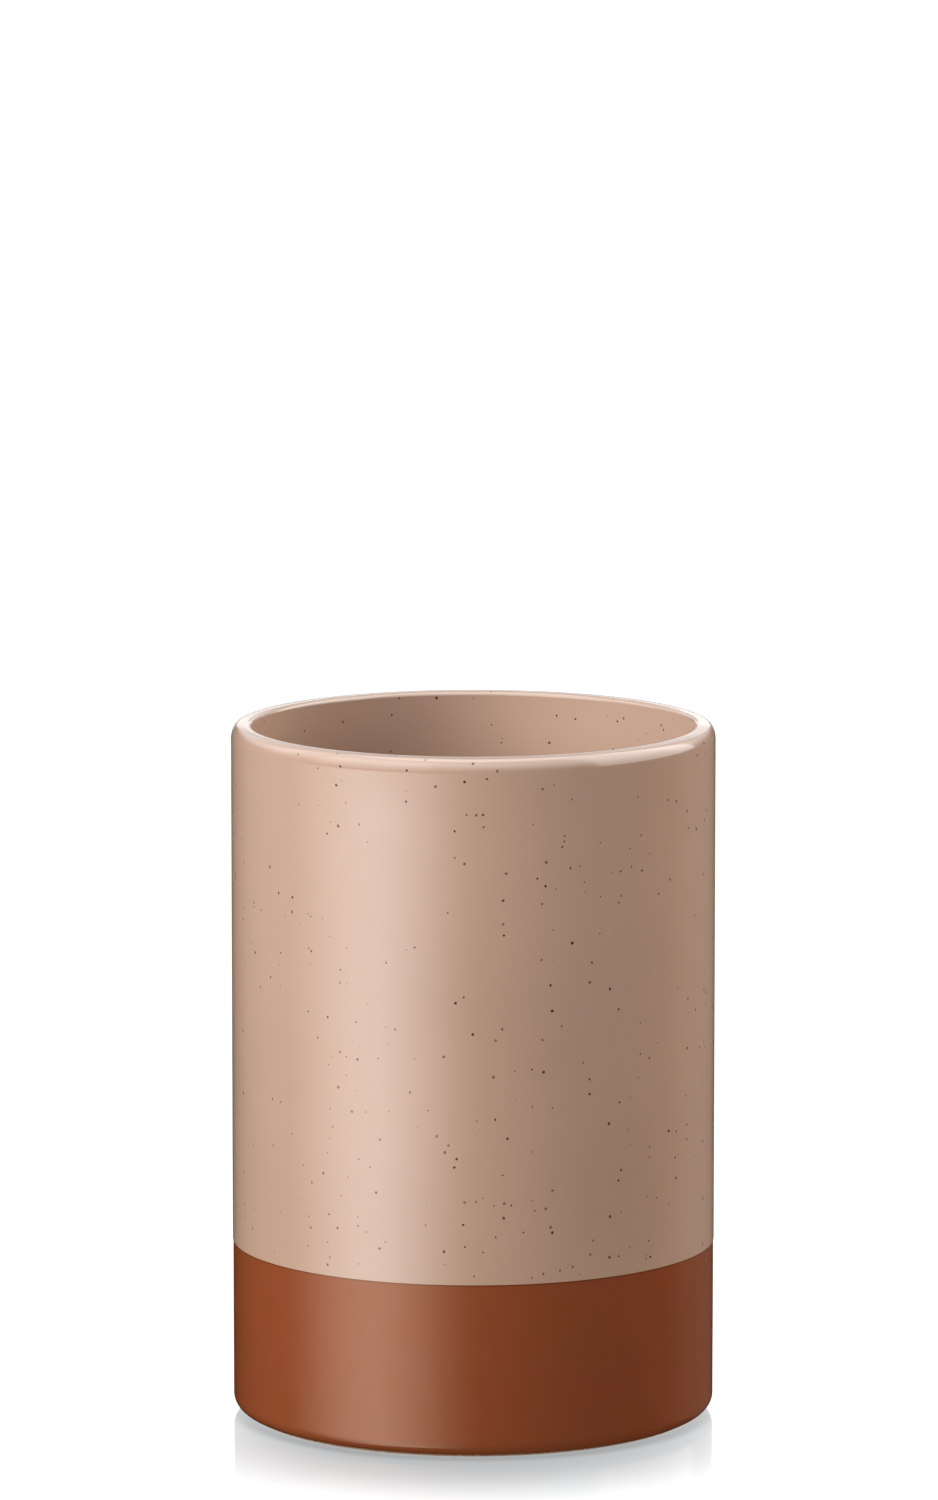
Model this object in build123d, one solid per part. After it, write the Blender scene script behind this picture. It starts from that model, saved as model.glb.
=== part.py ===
from build123d import *

import os

# Utensil crock: one fired stoneware pot with four coats fused to it.
# Millimetres. The origin is the centre of the foot on the table and +Z points up out of the mouth.
# Every sub-part is a closed profile in the plane y = 0, turned once round the Z axis.

# Whole pot, measured over the glaze
outer_diameter = 127.0
height = 183.0

# Coats
glaze = 0.5  # thickness of the speckled glaze, inside and outside
glaze_step = 0.15  # how far the speckled glaze stands proud of the terracotta coat at the band line
band_height = 46.0  # where the terracotta coat ends and the outer glaze begins, above the table

# Clay wall and floor
clay_wall = 4.5
clay_floor = 6.5
inside_corner_radius = 9.5

# Lip, as the clay has it under the glaze: a long soft shoulder outside and a small rounding inside
lip_shoulder_width = 1.6
lip_shoulder_fall = 3.5
lip_inner_radius = 0.7

# Heel and foot
heel_radius = 3.65
foot_ring_width = 5.0
foot_reveal = 0.6  # height of bare foot that shows under the terracotta coat
foot_edge_radius = 0.4  # rounding on both edges of the foot ring's flat face
recess_depth = 2.5  # from the table up to the clay inside the foot ring
recess_corner_radius = 1.2

# Sizes that follow from the ones above
base_coat = glaze - glaze_step
clay_outer_radius = outer_diameter / 2 - glaze
clay_inner_radius = clay_outer_radius - clay_wall
clay_top = height - glaze
heel_centre_radius = clay_outer_radius - heel_radius
heel_centre_height = foot_reveal + base_coat + heel_radius
foot_outer_radius = heel_centre_radius
foot_inner_radius = foot_outer_radius - foot_ring_width
floor_top = recess_depth + clay_floor
corner_centre_radius = clay_inner_radius - inside_corner_radius
corner_centre_height = floor_top + inside_corner_radius
shoulder_centre_radius = clay_outer_radius - lip_shoulder_width
shoulder_centre_height = clay_top - lip_shoulder_fall
lip_inner_centre_radius = clay_inner_radius + lip_inner_radius
lip_inner_centre_height = clay_top - lip_inner_radius
recess_centre_radius = foot_inner_radius - recess_corner_radius
recess_centre_height = recess_depth - recess_corner_radius


def upright(radius, low, high):
    """Straight side, or a line on the axis, at one radius and between two heights."""
    return Line((radius, low), (radius, high))


def level(above_table, start_radius, end_radius):
    """Flat ring or disc at one height above the table, from one radius to another."""
    return Line((start_radius, above_table), (end_radius, above_table))


def heel_arc(offset):
    """Rounded heel from its lowest point up to the side, at an offset outside the clay."""
    return CenterArc((heel_centre_radius, heel_centre_height), heel_radius + offset, 270, 90)


def shoulder_arc(offset):
    """Outer rounding of the lip, from the side up to the top, at an offset outside the clay."""
    return EllipticalCenterArc(
        (shoulder_centre_radius, shoulder_centre_height),
        lip_shoulder_width + offset,
        lip_shoulder_fall + offset,
        start_angle=0,
        arc_size=90,
    )


def lip_inner_arc(offset):
    """Inner rounding of the lip, from the top down to the inside wall, at an offset outside the clay."""
    return CenterArc(
        (lip_inner_centre_radius, lip_inner_centre_height), lip_inner_radius + offset, 90, 90
    )


def inside_corner_arc(offset):
    """Corner between the inside wall and the floor, from the wall down, at an offset off the clay."""
    return CenterArc(
        (corner_centre_radius, corner_centre_height), inside_corner_radius - offset, 0, -90
    )


def recess_corner_arc(offset):
    """Corner under the floor, from the recess ceiling down to the foot ring, at an offset off the clay."""
    return CenterArc(
        (recess_centre_radius, recess_centre_height), recess_corner_radius - offset, 90, -90
    )


def turned(edges):
    """Solid made by turning a closed profile, drawn as radius and height, once round the Z axis."""
    profile = make_face([Plane.XZ * edge for edge in edges])
    return revolve(profile, axis=Axis.Z, revolution_arc=360)


def stoneware_body():
    """The clay pot: side, lip, inside, floor, foot ring and the shallow recess under the floor."""
    outside = [
        upright(foot_outer_radius, foot_edge_radius, foot_reveal + base_coat),
        heel_arc(0),
        upright(clay_outer_radius, heel_centre_height, shoulder_centre_height),
        shoulder_arc(0),
        level(clay_top, shoulder_centre_radius, lip_inner_centre_radius),
    ]
    inside = [
        lip_inner_arc(0),
        upright(clay_inner_radius, corner_centre_height, lip_inner_centre_height),
        inside_corner_arc(0),
        level(floor_top, corner_centre_radius, 0),
        upright(0, recess_depth, floor_top),
    ]
    underside = [
        level(recess_depth, 0, recess_centre_radius),
        recess_corner_arc(0),
        upright(foot_inner_radius, foot_edge_radius, recess_centre_height),
        CenterArc((foot_inner_radius + foot_edge_radius, foot_edge_radius), foot_edge_radius, 180, 90),
        level(0, foot_inner_radius + foot_edge_radius, foot_outer_radius - foot_edge_radius),
        CenterArc((foot_outer_radius - foot_edge_radius, foot_edge_radius), foot_edge_radius, 270, 90),
    ]
    return turned(outside + inside + underside)


def speckled_outer_glaze():
    """Outside glaze from the band line to the top of the lip, with a soft rolled lower edge."""
    glaze_radius = clay_outer_radius + glaze
    return turned(
        [
            level(band_height, clay_outer_radius, glaze_radius - glaze_step),
            CenterArc((glaze_radius - glaze_step, band_height + glaze_step), glaze_step, 270, 90),
            upright(glaze_radius, band_height + glaze_step, shoulder_centre_height),
            shoulder_arc(glaze),
            level(height, shoulder_centre_radius, lip_inner_centre_radius),
            upright(lip_inner_centre_radius, clay_top, height),
            level(clay_top, lip_inner_centre_radius, shoulder_centre_radius),
            shoulder_arc(0),
            upright(clay_outer_radius, band_height, shoulder_centre_height),
        ]
    )


def speckled_liner_glaze():
    """Inside glaze from the lip down the wall, round the corner and across the floor."""
    liner_radius = clay_inner_radius - glaze
    liner_floor = floor_top + glaze
    return turned(
        [
            upright(lip_inner_centre_radius, clay_top, height),
            lip_inner_arc(glaze),
            upright(liner_radius, corner_centre_height, lip_inner_centre_height),
            inside_corner_arc(glaze),
            level(liner_floor, corner_centre_radius, 0),
            upright(0, floor_top, liner_floor),
            level(floor_top, 0, corner_centre_radius),
            inside_corner_arc(0),
            upright(clay_inner_radius, corner_centre_height, lip_inner_centre_height),
            lip_inner_arc(0),
        ]
    )


def terracotta_base_coat():
    """Outside coat from the bare foot round the heel and up to the band line."""
    coat_radius = clay_outer_radius + base_coat
    return turned(
        [
            upright(foot_outer_radius, foot_reveal, foot_reveal + base_coat),
            heel_arc(base_coat),
            upright(coat_radius, heel_centre_height, band_height),
            level(band_height, coat_radius, clay_outer_radius),
            upright(clay_outer_radius, heel_centre_height, band_height),
            heel_arc(0),
        ]
    )


def foot_recess_coat():
    """Coat on the underside, inside the foot ring, that stops where the ring's inner side begins."""
    ring_side = foot_inner_radius - base_coat
    ceiling = recess_depth - base_coat
    return turned(
        [
            level(ceiling, 0, recess_centre_radius),
            recess_corner_arc(base_coat),
            level(recess_centre_height, ring_side, foot_inner_radius),
            recess_corner_arc(0),
            level(recess_depth, recess_centre_radius, 0),
            upright(0, ceiling, recess_depth),
        ]
    )


sub_parts = {
    "stoneware_body": stoneware_body,
    "speckled_outer_glaze": speckled_outer_glaze,
    "speckled_liner_glaze": speckled_liner_glaze,
    "terracotta_base_coat": terracotta_base_coat,
    "foot_recess_coat": foot_recess_coat,
}

os.makedirs("parts", exist_ok=True)
for name, make in sub_parts.items():
    solid = make()
    solid.label = name
    export_step(solid, f"parts/{name}.step")
    print(name, round(solid.volume), "cubic mm")
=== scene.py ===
"""A stoneware utensil crock: turned clay, its fired coats, and a plain studio to see it in.

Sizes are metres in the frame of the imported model: the origin is the centre of the foot on the
floor, +Z points up out of the mouth and -Y faces the camera.
"""

import logging
import math
from abc import ABC, abstractmethod
from dataclasses import dataclass
from enum import Enum
from typing import ClassVar

import bpy
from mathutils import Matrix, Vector


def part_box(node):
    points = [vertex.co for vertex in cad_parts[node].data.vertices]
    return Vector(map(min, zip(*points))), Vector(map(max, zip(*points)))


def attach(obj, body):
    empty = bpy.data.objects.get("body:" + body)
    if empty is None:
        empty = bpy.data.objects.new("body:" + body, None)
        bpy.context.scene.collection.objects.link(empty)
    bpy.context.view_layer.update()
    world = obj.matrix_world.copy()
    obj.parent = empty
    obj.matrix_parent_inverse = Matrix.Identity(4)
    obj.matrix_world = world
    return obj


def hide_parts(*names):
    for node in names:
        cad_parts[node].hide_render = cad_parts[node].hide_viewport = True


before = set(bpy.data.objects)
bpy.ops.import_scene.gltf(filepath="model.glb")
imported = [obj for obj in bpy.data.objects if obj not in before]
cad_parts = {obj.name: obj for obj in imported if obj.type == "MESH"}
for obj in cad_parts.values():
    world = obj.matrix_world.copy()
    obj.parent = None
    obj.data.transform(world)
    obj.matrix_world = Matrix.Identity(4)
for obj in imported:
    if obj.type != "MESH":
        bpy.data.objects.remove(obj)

LOG = logging.getLogger("crock")

MM = 0.001
QUARTER_TURN = 90
WHITE = (1.0, 1.0, 1.0)

# A sheet that is one unit wide reaches this far each way from its middle.
HALF = 0.5

# Most of a noise's values lie between these two.
PATCH_LOW, PATCH_HIGH = 0.35, 0.65

# Several of a Mix node's sockets share a name, so they go by number.
MIX_SHARE, MIX_FIRST, MIX_SECOND, MIX_RESULT = 0, 6, 7, 2

Colour = tuple[float, float, float]
Place = tuple[float, float, float]
Socket = bpy.types.NodeSocket


class Slot(Enum):
    """The record's material slots."""

    CLAY = "bare_stoneware"
    GLAZE = "speckled_glaze"
    TERRACOTTA = "terracotta_coat"


class Heading(Enum):
    """Where a rounding begins, seen from its middle in the section, in degrees."""

    OUTWARD = 0
    UP = 90
    INWARD = 180
    DOWN = 270


@dataclass(frozen=True)
class Point:
    """A corner of a turned profile: its distance from the axis and its height above the floor."""

    radius: float
    height: float


def arc(
    centre: Point, wide: float, tall: float, start: Heading, turn: float, steps: int
) -> list[Point]:
    """Points along a round or elliptical stretch of a profile, both ends included.

    Args:
        centre: The middle of the rounding.
        wide: Its half width, along the radius.
        tall: Its half height.
        start: Where it begins.
        turn: How far it goes in degrees, above zero when it goes from outward towards up.
        steps: How many straight pieces stand for it.

    Returns:
        The points in order.
    """
    angles = [math.radians(start.value + turn * i / steps) for i in range(steps + 1)]
    return [
        Point(centre.radius + wide * math.cos(a), centre.height + tall * math.sin(a)) for a in angles
    ]


@dataclass(frozen=True)
class PotSizes:
    """Sizes that the clay and the coats share.

    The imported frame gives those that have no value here. The others lie inside the pot's boxes,
    where the frame doesn't show them.
    """

    outer_radius: float
    height: float
    band_height: float
    coat_radius: float
    clay_radius: float
    foot_reveal: float
    clay_floor_top: float
    lip_seam_radius: float
    foot_inner_radius: float
    recess_top: float
    recess_side_height: float
    clay_wall: float = 4.5 * MM
    shoulder_width: float = 1.6 * MM
    shoulder_fall: float = 3.5 * MM
    inside_corner: float = 9.5 * MM
    foot_ring_width: float = 5.0 * MM
    arc_steps: int = 12

    @classmethod
    def from_frame(cls) -> "PotSizes":
        """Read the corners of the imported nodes.

        Returns:
            The sizes of the pot as it was packed.
        """
        glaze_low, glaze_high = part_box("speckled_outer_glaze")
        coat_low, coat_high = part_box("terracotta_base_coat")
        liner_low, liner_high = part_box("speckled_liner_glaze")
        recess_low, recess_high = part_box("foot_recess_coat")
        clay_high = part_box("stoneware_body")[1]
        return cls(
            outer_radius=glaze_high.x,
            height=glaze_high.z,
            band_height=glaze_low.z,
            coat_radius=coat_high.x,
            clay_radius=clay_high.x,
            foot_reveal=coat_low.z,
            clay_floor_top=liner_low.z,
            lip_seam_radius=liner_high.x,
            foot_inner_radius=recess_high.x,
            recess_top=recess_high.z,
            recess_side_height=recess_low.z,
        )

    @property
    def glaze(self) -> float:
        """Thickness of the speckled glaze."""
        return self.outer_radius - self.clay_radius

    @property
    def coat(self) -> float:
        """Thickness of the terracotta coat."""
        return self.coat_radius - self.clay_radius

    @property
    def clay_top(self) -> float:
        """Height of the clay at the lip, under the glaze."""
        return self.height - self.glaze

    @property
    def inner_clay_radius(self) -> float:
        """Radius of the clay inside the pot."""
        return self.clay_radius - self.clay_wall

    @property
    def foot_outer_radius(self) -> float:
        """Outer radius of the bare foot ring."""
        return self.foot_inner_radius + self.foot_ring_width

    def shoulder(self, offset: float) -> list[Point]:
        """Outer rounding of the lip, from the side up to the top.

        Args:
            offset: How far outside the clay the surface lies.

        Returns:
            The points of the rounding.
        """
        centre = Point(self.clay_radius - self.shoulder_width, self.clay_top - self.shoulder_fall)
        wide, tall = self.shoulder_width + offset, self.shoulder_fall + offset
        return arc(centre, wide, tall, Heading.OUTWARD, QUARTER_TURN, self.arc_steps)

    def lip_inside(self, offset: float) -> list[Point]:
        """Inner rounding of the lip, from the top down to the inside wall.

        Args:
            offset: How far outside the clay the surface lies.

        Returns:
            The points of the rounding.
        """
        clay_rounding = self.lip_seam_radius - self.inner_clay_radius
        centre = Point(self.lip_seam_radius, self.clay_top - clay_rounding)
        round_by = clay_rounding + offset
        return arc(centre, round_by, round_by, Heading.UP, QUARTER_TURN, self.arc_steps)

    def inside_floor_corner(self, offset: float) -> list[Point]:
        """Corner inside the pot, from the wall down to the floor.

        Args:
            offset: How far off the clay the surface lies.

        Returns:
            The points of the corner.
        """
        centre = Point(
            self.inner_clay_radius - self.inside_corner, self.clay_floor_top + self.inside_corner
        )
        round_by = self.inside_corner - offset
        return arc(centre, round_by, round_by, Heading.OUTWARD, -QUARTER_TURN, self.arc_steps)

    def heel(self, offset: float) -> list[Point]:
        """Rounded heel, from its lowest point up to the side.

        Args:
            offset: How far outside the clay the surface lies.

        Returns:
            The points of the heel.
        """
        clay_heel = self.clay_radius - self.foot_outer_radius
        centre = Point(self.foot_outer_radius, self.foot_reveal + self.coat + clay_heel)
        round_by = clay_heel + offset
        return arc(centre, round_by, round_by, Heading.DOWN, QUARTER_TURN, self.arc_steps)

    def recess_corner(self, offset: float) -> list[Point]:
        """Corner inside the foot ring, from the ceiling down to the ring's inner side.

        Args:
            offset: How far off the clay the surface lies.

        Returns:
            The points of the corner.
        """
        clay_corner = self.recess_top - self.recess_side_height
        centre = Point(self.foot_inner_radius - clay_corner, self.recess_side_height)
        round_by = clay_corner - offset
        return arc(centre, round_by, round_by, Heading.UP, -QUARTER_TURN, self.arc_steps)


@dataclass(frozen=True)
class Wheel:
    """Draws a profile point by point in edit mode and turns it once round the Z axis."""

    name: str
    segments: int = 256
    merge_within: float = 0.002 * MM
    smooth_below: float = math.radians(35)
    first_face: float = 1.0 * MM

    def turn(self, profile: list[Point]) -> bpy.types.Object:
        """Model the piece.

        Args:
            profile: The outline of its section, closed, or with both ends on the axis.

        Returns:
            The finished mesh object, at the origin.
        """
        piece = self._first_point(profile[0])
        for here, there in zip(profile, profile[1:]):
            step = (there.radius - here.radius, 0, there.height - here.height)
            bpy.ops.mesh.extrude_vertices_move(TRANSFORM_OT_translate={"value": step})
        bpy.ops.mesh.select_all(action="SELECT")
        bpy.ops.mesh.remove_doubles(threshold=self.merge_within)
        bpy.ops.mesh.spin(steps=self.segments, angle=2 * math.pi, center=(0, 0, 0), axis=(0, 0, 1))
        bpy.ops.mesh.select_all(action="SELECT")
        bpy.ops.mesh.remove_doubles(threshold=self.merge_within)
        bpy.ops.mesh.normals_make_consistent(inside=False)
        bpy.ops.object.mode_set(mode="OBJECT")
        bpy.ops.object.shade_smooth_by_angle(angle=self.smooth_below)
        return piece

    def _first_point(self, point: Point) -> bpy.types.Object:
        """Start a new mesh as a single point, by merging a small face to its middle.

        Args:
            point: Where the profile begins.

        Returns:
            The object, in edit mode with that point selected.
        """
        bpy.ops.object.select_all(action="DESELECT")
        bpy.ops.mesh.primitive_plane_add(size=self.first_face, location=(point.radius, 0, point.height))
        piece = bpy.context.object
        piece.name = self.name
        piece.data.name = self.name
        bpy.ops.object.transform_apply(location=True, rotation=True, scale=True)
        bpy.ops.object.mode_set(mode="EDIT")
        bpy.ops.mesh.select_mode(type="VERT")
        bpy.ops.mesh.select_all(action="SELECT")
        bpy.ops.mesh.merge(type="CENTER")
        return piece


@dataclass(frozen=True)
class Clouds:
    """Soft noise, with the size of one cloud in metres and how much finer noise is in it."""

    size: float
    detail: float = 1.0


@dataclass(frozen=True)
class Ripple:
    """A gentle unevenness of a surface, with its noise and its rise in metres."""

    clouds: Clouds
    rise: float


class NodeBench:
    """Lays out the nodes of one material."""

    def __init__(self, name: str) -> None:
        """Make a material with a Principled shader and the coordinates that patterns read.

        Args:
            name: The material's name.
        """
        self.material = bpy.data.materials.new(name)
        self.material.use_nodes = True
        self.tree = self.material.node_tree
        self.shader = self.tree.nodes["Principled BSDF"]
        coordinates = self.node("ShaderNodeTexCoord")
        self.place: Socket = coordinates.outputs["Object"]
        self.sheet: Socket = coordinates.outputs["UV"]

    def node(self, kind: str, **settings: object) -> bpy.types.Node:
        """Add one node.

        Args:
            kind: The node's type.
            **settings: Its properties.

        Returns:
            The node.
        """
        made = self.tree.nodes.new(kind)
        for key, value in settings.items():
            setattr(made, key, value)
        return made

    def feed(self, into: Socket, value: "Socket | float | tuple[float, ...]") -> None:
        """Link a socket, or set its value.

        Args:
            into: The input.
            value: An output to link, or a plain value.
        """
        if isinstance(value, bpy.types.NodeSocket):
            self.tree.links.new(value, into)
        else:
            into.default_value = value

    def feed_colour(self, into: Socket, colour: "Socket | Colour") -> None:
        """Link a colour socket, or set it to a plain colour."""
        linked = isinstance(colour, bpy.types.NodeSocket)
        self.feed(into, colour if linked else (*colour, 1.0))

    def math(self, operation: str, first: "Socket | float", second: "Socket | float" = 0.0) -> Socket:
        """Work out one step of arithmetic.

        Args:
            operation: The step, as a Math node names it.
            first: The first number.
            second: The second number, for a step that takes two.

        Returns:
            The result.
        """
        made = self.node("ShaderNodeMath", operation=operation)
        self.feed(made.inputs[0], first)
        self.feed(made.inputs[1], second)
        return made.outputs[0]

    def ramp(self, value: Socket, low: float, high: float, start: float, end: float) -> Socket:
        """Map a number from one span to another with soft ends.

        Args:
            value: The number.
            low: Where the span begins.
            high: Where it ends.
            start: What low becomes.
            end: What high becomes.

        Returns:
            The mapped number.
        """
        made = self.node("ShaderNodeMapRange", interpolation_type="SMOOTHSTEP")
        for name, given in zip(
            ("Value", "From Min", "From Max", "To Min", "To Max"), (value, low, high, start, end)
        ):
            self.feed(made.inputs[name], given)
        return made.outputs["Result"]

    def noise(self, clouds: Clouds) -> Socket:
        """Soft noise between about 0 and 1.

        Args:
            clouds: Its size and detail.

        Returns:
            The noise.
        """
        made = self.node("ShaderNodeTexNoise", noise_dimensions="3D")
        self.feed(made.inputs["Vector"], self.place)
        self.feed(made.inputs["Scale"], 1 / clouds.size)
        self.feed(made.inputs["Detail"], clouds.detail)
        return made.outputs["Fac"]

    def patches(self, clouds: Clouds, start: float, end: float) -> Socket:
        """Soft patches of the end value, as large as the clouds, in a ground of the start value."""
        return self.ramp(self.noise(clouds), PATCH_LOW, PATCH_HIGH, start, end)

    def mix(self, share: "Socket | float", first: "Socket | Colour", second: "Socket | Colour") -> Socket:
        """Blend two colours.

        Args:
            share: How much of the second colour.
            first: The first colour.
            second: The second colour.

        Returns:
            The blend.
        """
        made = self.node("ShaderNodeMix", data_type="RGBA")
        self.feed(made.inputs[MIX_SHARE], share)
        self.feed_colour(made.inputs[MIX_FIRST], first)
        self.feed_colour(made.inputs[MIX_SECOND], second)
        return made.outputs[MIX_RESULT]

    def tint(self, colour: Socket, by: "Socket | Colour") -> Socket:
        """Multiply a colour.

        Args:
            colour: The colour.
            by: A number or a colour to multiply it by.

        Returns:
            The product.
        """
        made = self.node("ShaderNodeVectorMath", operation="MULTIPLY")
        self.feed(made.inputs[0], colour)
        self.feed(made.inputs[1], by)
        return made.outputs[0]

    def distance(self, start: Place) -> Socket:
        """Distance of each place from a fixed one.

        Args:
            start: The fixed place in metres.

        Returns:
            The distance in metres.
        """
        made = self.node("ShaderNodeVectorMath", operation="DISTANCE")
        self.feed(made.inputs[0], self.place)
        self.feed(made.inputs[1], start)
        return made.outputs["Value"]

    def height(self) -> Socket:
        """Height above the floor.

        Returns:
            The height in metres.
        """
        made = self.node("ShaderNodeSeparateXYZ")
        self.feed(made.inputs[0], self.place)
        return made.outputs["Z"]

    def relief(self, *ripples: Ripple) -> None:
        """Tilt the shading by the sum of some ripples.

        Args:
            *ripples: The ripples.
        """
        total: "Socket | float" = 0.0
        for ripple in ripples:
            rise = self.math("MULTIPLY", self.noise(ripple.clouds), ripple.rise)
            total = self.math("ADD", total, rise)
        bump = self.node("ShaderNodeBump")
        self.feed(bump.inputs["Strength"], 1.0)
        self.feed(bump.inputs["Distance"], 1.0)
        self.feed(bump.inputs["Height"], total)
        self.feed(self.shader.inputs["Normal"], bump.outputs["Normal"])

    def show_both(self, first: bpy.types.Node, second: bpy.types.Node) -> None:
        """Show the sum of two other shaders in place of the Principled one.

        Args:
            first: The first shader.
            second: The second shader.
        """
        both = self.node("ShaderNodeAddShader")
        self.feed(both.inputs[0], first.outputs[0])
        self.feed(both.inputs[1], second.outputs[0])
        self.tree.nodes.remove(self.shader)
        self.feed(self.tree.nodes["Material Output"].inputs["Surface"], both.outputs[0])


@dataclass(frozen=True)
class Specks:
    """Iron specks spread through a glaze, cut where the surface meets them.

    Each cell of the glaze has room for one speck, and the sparse and dense shares say how many
    cells hold one. The smallest and largest are radii. The palest share is the strength of the
    palest speck. The soft share of the largest radius is how wide an edge fades, and the wobble
    share of it is the size of the noise that bends the outlines.
    """

    cell: float
    smallest: float
    largest: float
    sparse_share: float
    dense_share: float
    patch: Clouds
    palest_share: float
    soft_share: float = 0.12
    wobble_share: float = 2.0

    def mask(self, bench: NodeBench) -> Socket:
        """Where the specks are.

        Args:
            bench: The material's nodes.

        Returns:
            1 in the middle of a dark speck, less in a pale one, and 0 between specks.
        """
        wobble = bench.node("ShaderNodeTexNoise")
        bench.feed(wobble.inputs["Vector"], bench.place)
        bench.feed(wobble.inputs["Scale"], 1 / (self.wobble_share * self.largest))
        shift = bench.node("ShaderNodeVectorMath", operation="MULTIPLY_ADD")
        bench.feed(shift.inputs[0], wobble.outputs["Color"])
        bench.feed(shift.inputs[1], (self.largest, self.largest, self.largest))
        bench.feed(shift.inputs[2], bench.place)
        grains = bench.node("ShaderNodeTexVoronoi", feature="F1")
        bench.feed(grains.inputs["Vector"], shift.outputs[0])
        bench.feed(grains.inputs["Scale"], 1 / self.cell)
        chance = bench.node("ShaderNodeSeparateColor")
        bench.feed(chance.inputs[0], grains.outputs["Color"])
        share = bench.patches(self.patch, self.sparse_share, self.dense_share)
        kept = bench.math("LESS_THAN", chance.outputs[0], share)
        small, large = self.smallest / self.cell, self.largest / self.cell
        radius = bench.ramp(chance.outputs[1], 0, 1, small, large)
        depth = bench.math("SUBTRACT", radius, grains.outputs["Distance"])
        edge = bench.ramp(depth, 0, self.soft_share * large, 0, 1)
        strength = bench.ramp(chance.outputs[2], 0, 1, self.palest_share, 1)
        return bench.math("MULTIPLY", bench.math("MULTIPLY", kept, edge), strength)


@dataclass(frozen=True)
class SpeckledGlaze:
    """Warm cream glaze, satin to gloss, with iron specks, faint clouding, painted shade darker towards
    the bottom and a painted highlight along its lower edge.
    """

    band_line: float
    top: float
    body: Colour = (0.380, 0.243, 0.174)
    pale: Colour = (0.394, 0.252, 0.181)
    clouding: Clouds = Clouds(45 * MM, detail=3.0)
    iron: Colour = (0.06, 0.02, 0.008)
    # Painted shade: the glaze colour is multiplied by this at the band line, fading out towards the lip.
    painted_low_shade: Colour = (0.92, 0.905, 0.895)
    smoothest: float = 0.10
    roughest: float = 0.15
    gloss_patch: Clouds = Clouds(18 * MM, detail=2.0)
    ior: float = 1.75
    roll_width: float = 0.5 * MM
    # Painted highlight: lighter colour along the glaze's rolled lower edge.
    painted_roll_highlight: Colour = (1.03, 1.02, 0.94)
    wave: Ripple = Ripple(Clouds(14 * MM), rise=0.02 * MM)
    peel: Ripple = Ripple(Clouds(1.6 * MM), rise=0.001 * MM)
    specks: Specks = Specks(
        cell=2.5 * MM,
        smallest=0.23 * MM,
        largest=0.43 * MM,
        sparse_share=0.19,
        dense_share=0.63,
        patch=Clouds(24 * MM, detail=2.0),
        palest_share=0.65,
    )

    def material(self) -> bpy.types.Material:
        """Build the glaze.

        Returns:
            The material.
        """
        bench = NodeBench("speckled_cream_glaze")
        clouded = bench.mix(bench.patches(self.clouding, 0, 1), self.body, self.pale)
        # Painted shade: the glaze gets darker from the lip down to the band line.
        rise = bench.ramp(bench.height(), self.band_line, self.top, 0, 1)
        with_painted_shade = bench.mix(rise, bench.tint(clouded, self.painted_low_shade), clouded)
        # Painted highlight: the glaze is lighter in a narrow strip just above the band line.
        near_line = bench.ramp(bench.height(), self.band_line, self.band_line + self.roll_width, 1, 0)
        glazed = bench.mix(near_line, with_painted_shade, bench.tint(with_painted_shade, self.painted_roll_highlight))
        speckled = bench.mix(self.specks.mask(bench), glazed, self.iron)
        rough = bench.patches(self.gloss_patch, self.smoothest, self.roughest)
        bench.feed(bench.shader.inputs["Base Color"], speckled)
        bench.feed(bench.shader.inputs["Roughness"], rough)
        bench.feed(bench.shader.inputs["IOR"], self.ior)
        bench.relief(self.wave, self.peel)
        return bench.material


@dataclass(frozen=True)
class TerracottaCoat:
    """Satin brown-red coat with soft blotches, with a fine line of painted shade where the pale glaze
    starts and painted shade darker towards the foot.
    """

    band_line: float
    body: Colour = (0.173, 0.0437, 0.0130)
    ruddy: Colour = (0.183, 0.0427, 0.0145)
    blotch: Clouds = Clouds(26 * MM, detail=1.5)
    sheen: Colour = (1.0, 0.81, 0.64)
    gloss: float = 0.44
    ior: float = 1.75
    smoothest: float = 0.15
    roughest: float = 0.21
    gloss_patch: Clouds = Clouds(9 * MM, detail=2.0)
    # Painted shade: a fine dark line just under the glaze's edge.
    line_width: float = 0.5 * MM
    line_core: float = 0.2 * MM
    painted_line_shade: float = 0.68
    # Painted shade: the coat's colour is multiplied by this at the foot, fading out towards the band
    # line.
    painted_low_shade: float = 0.94
    wave: Ripple = Ripple(Clouds(12 * MM), rise=0.02 * MM)
    grain: Ripple = Ripple(Clouds(0.7 * MM, detail=2.0), rise=0.0015 * MM)

    def material(self) -> bpy.types.Material:
        """Build the coat.

        Returns:
            The material.
        """
        bench = NodeBench("terracotta_satin_coat")
        blotched = bench.mix(bench.patches(self.blotch, 0, 1), self.body, self.ruddy)
        # Painted shade: a fine dark line under the glaze's edge at the band line.
        line_low, line_high = self.band_line - self.line_width, self.band_line - self.line_core
        shadow_line = bench.ramp(bench.height(), line_low, line_high, 1, self.painted_line_shade)
        # Painted shade: darker towards the foot.
        low = bench.ramp(bench.height(), 0, self.band_line, self.painted_low_shade, 1)
        with_painted_shade = bench.tint(blotched, bench.math("MULTIPLY", shadow_line, low))
        rough = bench.patches(self.gloss_patch, self.smoothest, self.roughest)
        bench.feed(bench.shader.inputs["Base Color"], with_painted_shade)
        bench.feed(bench.shader.inputs["Roughness"], rough)
        bench.feed(bench.shader.inputs["IOR"], self.ior)
        bench.feed(bench.shader.inputs["Specular IOR Level"], self.gloss)
        bench.feed_colour(bench.shader.inputs["Specular Tint"], self.sheen)
        bench.relief(self.wave, self.grain)
        return bench.material


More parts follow.
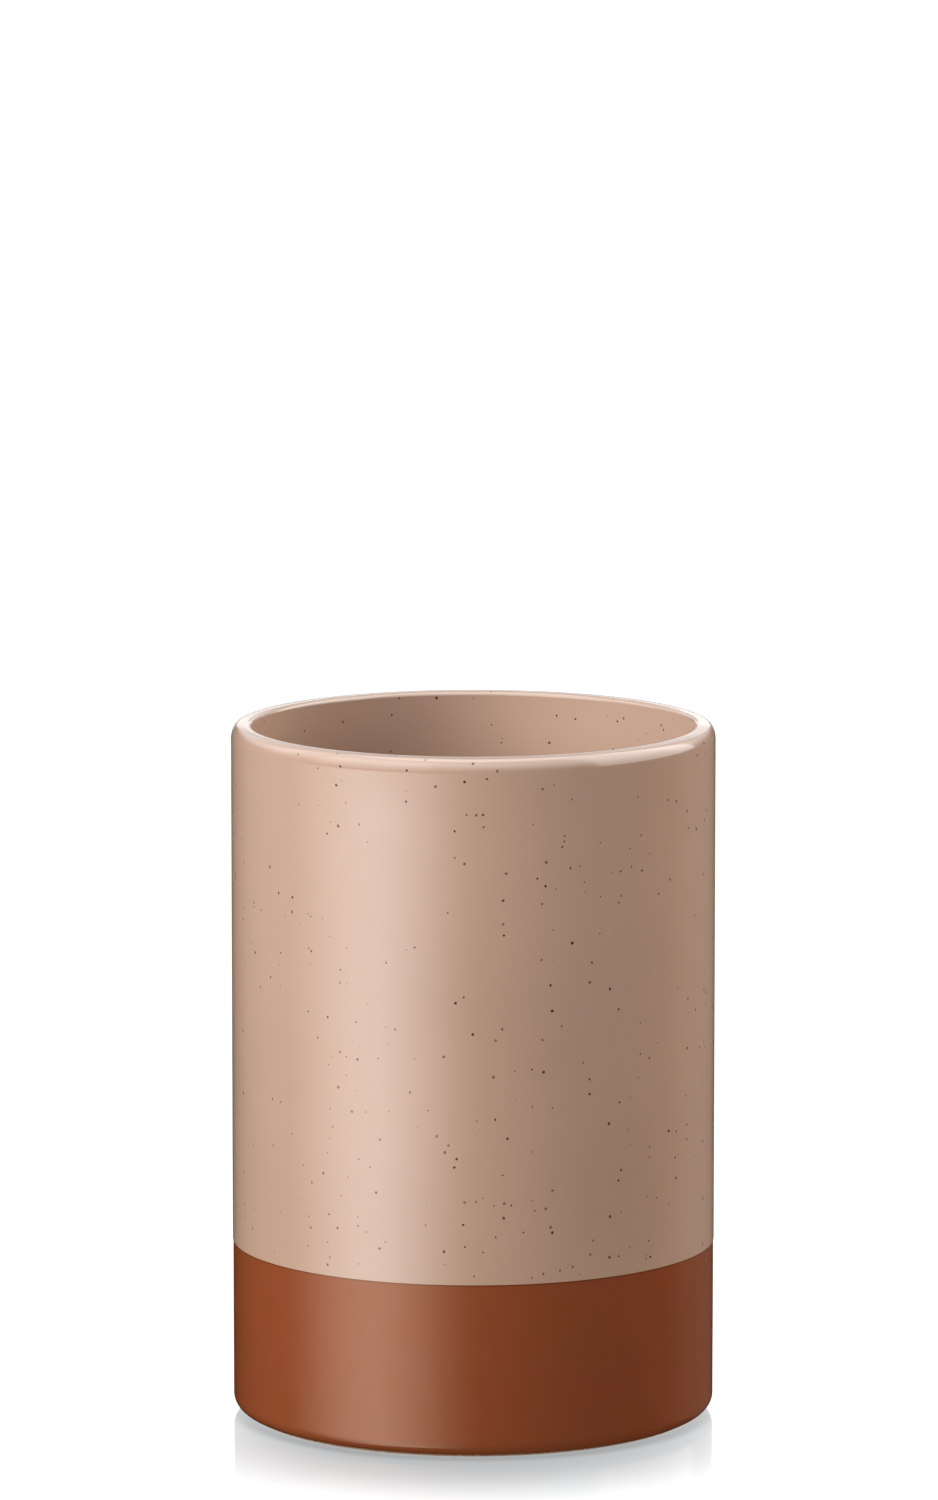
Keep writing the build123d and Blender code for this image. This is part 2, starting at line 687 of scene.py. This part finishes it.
@dataclass(frozen=True)
class BareStoneware:
    """Unglazed fired clay, matt, with fine sandy grain."""

    body: Colour = (0.33, 0.2, 0.12)
    grog: Colour = (0.2, 0.11, 0.06)
    smoothest: float = 0.85
    roughest: float = 0.95
    grain: Ripple = Ripple(Clouds(0.5 * MM, detail=3.0), rise=0.05 * MM)

    def material(self) -> bpy.types.Material:
        """Build the clay.

        Returns:
            The material.
        """
        bench = NodeBench("bare_fired_stoneware")
        sandy = bench.mix(bench.patches(self.grain.clouds, 0, 1), self.body, self.grog)
        rough = bench.patches(self.grain.clouds, self.smoothest, self.roughest)
        bench.feed(bench.shader.inputs["Base Color"], sandy)
        bench.feed(bench.shader.inputs["Roughness"], rough)
        bench.relief(self.grain)
        return bench.material


@dataclass(frozen=True)
class TurnedPart(ABC):
    """One coat or the clay of the pot: its own solid, turned on the wheel and dressed."""

    sizes: PotSizes
    name: ClassVar[str]
    node: ClassVar[str]
    slot: ClassVar[Slot]

    @abstractmethod
    def profile(self) -> list[Point]:
        """Outline of the part's section."""

    def build(self, finish: bpy.types.Material) -> bpy.types.Object:
        """Turn the part, dress it and set it on the frame.

        Args:
            finish: Its material.

        Returns:
            The piece.
        """
        piece = Wheel(self.name).turn(self.profile())
        piece.data.materials.clear()
        piece.data.materials.append(finish)
        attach(piece, "root")
        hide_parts(self.node)
        return piece


@dataclass(frozen=True)
class ClayPot(TurnedPart):
    """The fired clay, of which only the foot ring shows."""

    foot_edge: float = 0.4 * MM
    name: ClassVar[str] = "clay_pot"
    node: ClassVar[str] = "stoneware_body"
    slot: ClassVar[Slot] = Slot.CLAY

    def profile(self) -> list[Point]:
        """Outline from the middle of the underside round the outside to the middle of the floor.

        Returns:
            The points in order.
        """
        s = self.sizes
        inner_edge = Point(s.foot_inner_radius + self.foot_edge, self.foot_edge)
        outer_edge = Point(s.foot_outer_radius - self.foot_edge, self.foot_edge)
        return [
            Point(0, s.recess_top),
            *s.recess_corner(0),
            *self._foot_rounding(inner_edge, Heading.INWARD),
            *self._foot_rounding(outer_edge, Heading.DOWN),
            *s.heel(0),
            *s.shoulder(0),
            *s.lip_inside(0),
            *s.inside_floor_corner(0),
            Point(0, s.clay_floor_top),
        ]

    def _foot_rounding(self, centre: Point, start: Heading) -> list[Point]:
        """Small rounding on an edge of the foot ring's flat face, round a centre."""
        return arc(centre, self.foot_edge, self.foot_edge, start, QUARTER_TURN, self.sizes.arc_steps)


@dataclass(frozen=True)
class OuterGlaze(TurnedPart):
    """Speckled glaze from the band line up the outside and over the lip."""

    name: ClassVar[str] = "outer_glaze"
    node: ClassVar[str] = "speckled_outer_glaze"
    slot: ClassVar[Slot] = Slot.GLAZE

    def profile(self) -> list[Point]:
        """Closed outline, starting where the glaze meets the terracotta on the clay.

        Returns:
            The points in order.
        """
        s = self.sizes
        roll = s.outer_radius - s.coat_radius
        roll_centre = Point(s.coat_radius, s.band_height + roll)
        start = Point(s.clay_radius, s.band_height)
        return [
            start,
            *arc(roll_centre, roll, roll, Heading.DOWN, QUARTER_TURN, s.arc_steps),
            *s.shoulder(s.glaze),
            Point(s.lip_seam_radius, s.height),
            Point(s.lip_seam_radius, s.clay_top),
            *reversed(s.shoulder(0)),
            start,
        ]


@dataclass(frozen=True)
class LinerGlaze(TurnedPart):
    """Speckled glaze inside the pot, down the wall and across the floor."""

    name: ClassVar[str] = "liner_glaze"
    node: ClassVar[str] = "speckled_liner_glaze"
    slot: ClassVar[Slot] = Slot.GLAZE

    def profile(self) -> list[Point]:
        """Outline from the middle of the clay floor up to the lip and back down over it.

        Returns:
            The points in order.
        """
        s = self.sizes
        return [
            Point(0, s.clay_floor_top),
            *reversed(s.inside_floor_corner(0)),
            *reversed(s.lip_inside(0)),
            *s.lip_inside(s.glaze),
            *s.inside_floor_corner(s.glaze),
            Point(0, s.clay_floor_top + s.glaze),
        ]


@dataclass(frozen=True)
class BaseBand(TurnedPart):
    """Terracotta coat round the lowest quarter and the heel."""

    name: ClassVar[str] = "terracotta_band"
    node: ClassVar[str] = "terracotta_base_coat"
    slot: ClassVar[Slot] = Slot.TERRACOTTA

    def profile(self) -> list[Point]:
        """Closed outline, starting at the band line on the clay.

        Returns:
            The points in order.
        """
        s = self.sizes
        start = Point(s.clay_radius, s.band_height)
        return [
            start,
            *reversed(s.heel(0)),
            *s.heel(s.coat),
            Point(s.coat_radius, s.band_height),
            start,
        ]


@dataclass(frozen=True)
class RecessCoat(TurnedPart):
    """Terracotta coat on the underside, inside the foot ring."""

    name: ClassVar[str] = "recess_coat"
    node: ClassVar[str] = "foot_recess_coat"
    slot: ClassVar[Slot] = Slot.TERRACOTTA

    def profile(self) -> list[Point]:
        """Outline from the middle of the clay ceiling out to the ring and back.

        Returns:
            The points in order.
        """
        s = self.sizes
        return [
            Point(0, s.recess_top),
            *s.recess_corner(0),
            *reversed(s.recess_corner(s.coat)),
            Point(0, s.recess_top - s.coat),
        ]


class Reach(Enum):
    """What a card's glow does to the pot."""

    MIRRORED = "shows in reflections alone"
    CAST = "lights the pot and shows in no reflection"


@dataclass(frozen=True)
class Card:
    """A lit card bent round the pot, with its edges as azimuths and elevations in degrees.

    Azimuth 0 is the camera's side and grows towards +X, and elevation 0 is level with the foot.
    A fade is a share of the card's width or height, and without one the edge is all but hard.
    """

    name: str
    left: float
    right: float
    low: float
    high: float
    power: float
    side_fade: float = 0.001
    low_fade: float = 0.001
    tone: Colour = WHITE
    reach: Reach = Reach.MIRRORED
    distance: float = 2.0
    columns: int = 24
    rows: int = 16

    def stand(self) -> None:
        """Make the card as a bent sheet whose glow fades at its sides and its lower edge."""
        bpy.ops.object.select_all(action="DESELECT")
        bpy.ops.mesh.primitive_grid_add(x_subdivisions=self.columns, y_subdivisions=self.rows, size=1)
        card = bpy.context.object
        card.name = self.name
        for corner in card.data.vertices:
            across = math.radians(self.left + (corner.co.x + HALF) * (self.right - self.left))
            rise = math.radians(self.low + (corner.co.y + HALF) * (self.high - self.low))
            corner.co = self.distance * Vector(
                (math.sin(across) * math.cos(rise), -math.cos(across) * math.cos(rise), math.sin(rise))
            )
        card.data.materials.append(self._glow())
        card.visible_camera = False
        card.visible_glossy = self.reach is Reach.MIRRORED
        card.visible_diffuse = self.reach is Reach.CAST
        card.visible_shadow = False

    def _glow(self) -> bpy.types.Material:
        """A glow that lets what lies behind the card show through.

        Returns:
            The card's material.
        """
        bench = NodeBench(self.name)
        bench.material.cycles.emission_sampling = "NONE"
        split = bench.node("ShaderNodeSeparateXYZ")
        bench.feed(split.inputs[0], bench.sheet)
        from_middle = bench.math("ABSOLUTE", bench.math("SUBTRACT", split.outputs["X"], HALF))
        from_side = bench.math("SUBTRACT", HALF, from_middle)
        across = bench.ramp(from_side, 0, self.side_fade, 0, self.power)
        up = bench.ramp(split.outputs["Y"], 0, self.low_fade, 0, 1)
        glow = bench.node("ShaderNodeEmission")
        bench.feed_colour(glow.inputs["Color"], self.tone)
        bench.feed(glow.inputs["Strength"], bench.math("MULTIPLY", across, up))
        bench.show_both(glow, bench.node("ShaderNodeBsdfTransparent"))
        return bench.material


@dataclass(frozen=True)
class Lamp:
    """A wide far light, as a large diffuser gives, for soft even shading.

    Its azimuth, elevation and spread are in degrees.
    """

    name: str
    azimuth: float
    elevation: float
    power: float
    spread: float
    tone: Colour = WHITE

    def hang(self) -> None:
        """Make the light, aimed at the pot."""
        turn = (math.radians(QUARTER_TURN - self.elevation), 0, math.radians(self.azimuth))
        bpy.ops.object.light_add(type="SUN", rotation=turn)
        lamp = bpy.context.object
        lamp.name = self.name
        lamp.data.energy = self.power
        lamp.data.color = self.tone
        lamp.data.angle = math.radians(self.spread)
        lamp.visible_glossy = False


@dataclass(frozen=True)
class Floor:
    """Pale glossy floor, lit from within, with a painted soft shadow in front of the crock and a painted
    contact shadow at its foot.
    """

    radius: float = 40.0
    corners: int = 64
    # Painted shadow: the floor's glow is this grey in front of the crock.
    shade: Colour = (0.436, 0.468, 0.477)
    clear: Colour = (0.955, 0.99, 1.0)
    glow: float = 1.1
    shade_place: Place = (0.0, -30 * MM, 0.0)
    shade_from: float = 36 * MM
    shade_to: float = 98 * MM
    gloss: Colour = (0.25, 0.25, 0.25)
    roughness: float = 0.04
    # Painted contact shadow: the glow dims in a thin ring round the foot.
    contact_place: Place = (0.0, 0.0, 0.0)
    contact_from: float = 62 * MM
    contact_to: float = 67 * MM
    painted_contact_shade: float = 0.75

    def lay(self) -> None:
        """Make the floor, which neither lights the crock nor shows in it."""
        bpy.ops.object.select_all(action="DESELECT")
        bpy.ops.mesh.primitive_circle_add(vertices=self.corners, radius=self.radius, fill_type="NGON")
        floor = bpy.context.object
        floor.name = "studio_floor"
        floor.data.materials.append(self._surface())
        floor.visible_glossy = False
        floor.visible_diffuse = False

    def _surface(self) -> bpy.types.Material:
        """Glow under a gloss.

        Returns:
            The floor's material.
        """
        bench = NodeBench("pale_floor")
        # Painted shadow: a soft grey patch centred just in front of the crock.
        from_shade = bench.distance(self.shade_place)
        openness = bench.ramp(from_shade, self.shade_from, self.shade_to, 0, 1)
        # Painted contact shadow: the glow dims in a thin ring round the foot.
        from_foot = bench.distance(self.contact_place)
        contact_shadow = bench.ramp(from_foot, self.contact_from, self.contact_to, self.painted_contact_shade, 1)
        glow = bench.node("ShaderNodeEmission")
        bench.feed(glow.inputs["Color"], bench.mix(openness, self.shade, self.clear))
        bench.feed(glow.inputs["Strength"], bench.math("MULTIPLY", contact_shadow, self.glow))
        gloss = bench.node("ShaderNodeBsdfGlossy")
        bench.feed_colour(gloss.inputs["Color"], self.gloss)
        bench.feed(gloss.inputs["Roughness"], self.roughness)
        bench.show_both(glow, gloss)
        return bench.material


@dataclass(frozen=True)
class Viewpoint:
    """The photograph's camera, with its dip below level in degrees and its sensor in millimetres."""

    place: Place = (-1.13 * MM, -2406.9 * MM, 538.4 * MM)
    dip: float = 8.566
    focal_pixels: float = 9287.8
    photo_height: int = 1500
    sensor: float = 36.0
    sight: float = 200.0

    def set_up(self) -> None:
        """Make the camera and give it to the scene."""
        tilt = (math.radians(QUARTER_TURN - self.dip), 0, 0)
        bpy.ops.object.camera_add(location=self.place, rotation=tilt)
        camera = bpy.context.object
        camera.data.sensor_width = self.sensor
        camera.data.lens = self.focal_pixels * self.sensor / self.photo_height
        camera.data.clip_end = self.sight
        bpy.context.scene.camera = camera


@dataclass(frozen=True)
class Studio:
    """Pale floor, soft lamps, lit cards and the camera."""

    ambient: float = 0.05
    floor: Floor = Floor()
    viewpoint: Viewpoint = Viewpoint()
    lamps: tuple[Lamp, ...] = (
        Lamp("key_light", azimuth=-58, elevation=28, power=4.5, spread=50, tone=(0.97, 1.04, 1.11)),
        Lamp("fill_light", azimuth=118, elevation=25, power=3.98, spread=50),
        Lamp("front_light", azimuth=-10, elevation=30, power=0.95, spread=50),
    )
    cards: tuple[Card, ...] = (
        Card("ground_glow", -180, 180, -89, -1, power=0.8, tone=(1.0, 0.94, 0.89), reach=Reach.CAST),
        Card("left_wall_card", -100, 3, -60, 0, power=2.46, side_fade=0.5),
        Card("back_wall", 164, 196, 0, 30, power=0.6, side_fade=0.2),
        Card("right_back_wall", 100, 172, -25, 11, power=0.085, side_fade=0.3),
        Card("floor_backdrop", 168, 192, 11.6, 14.2, power=1.4, side_fade=0.15),
        Card("back_left_dome", -180, -95, 10, 60, power=1.25, side_fade=0.15, low_fade=0.3),
        Card("back_right_dome", 105, 180, 5, 60, power=1.25, side_fade=0.15, low_fade=0.3),
        Card("front_dome", -135, 150, 6, 88, power=2.33, side_fade=0.15, low_fade=0.4),
        Card("ceiling", -180, 180, 55, 90, power=2.2, low_fade=0.3),
        Card("left_window", -78, -20, 7, 50, power=0.7),
        Card("right_window", 60, 128, 7, 60, power=1.9),
    )

    def set_up(self) -> None:
        """Make everything round the crock."""
        self.floor.lay()
        self._fill_room()
        for lamp in self.lamps:
            lamp.hang()
        for card in self.cards:
            card.stand()
        self.viewpoint.set_up()
        bpy.context.scene.view_settings.view_transform = "Standard"

    def _fill_room(self) -> None:
        """Give even white light from all round, which reflections don't see."""
        world = bpy.data.worlds.new("studio_room")
        world.use_nodes = True
        air = world.node_tree.nodes["Background"]
        air.inputs["Color"].default_value = (*WHITE, 1.0)
        air.inputs["Strength"].default_value = self.ambient
        world.cycles_visibility.glossy = False
        bpy.context.scene.world = world


def main() -> None:
    """Build the crock piece by piece, then its studio, and report each."""
    logging.basicConfig(level=logging.INFO, format="%(message)s")
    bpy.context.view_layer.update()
    sizes = PotSizes.from_frame()
    finishes = {
        Slot.CLAY: BareStoneware().material(),
        Slot.GLAZE: SpeckledGlaze(sizes.band_height, sizes.height).material(),
        Slot.TERRACOTTA: TerracottaCoat(sizes.band_height).material(),
    }
    for part in (ClayPot, OuterGlaze, LinerGlaze, BaseBand, RecessCoat):
        piece = part(sizes).build(finishes[part.slot])
        LOG.info("%s: %d faces", piece.name, len(piece.data.polygons))
    studio = Studio()
    studio.set_up()
    LOG.info("studio: %d lamps and %d cards", len(studio.lamps), len(studio.cards))


if __name__ == "__main__":
    main()
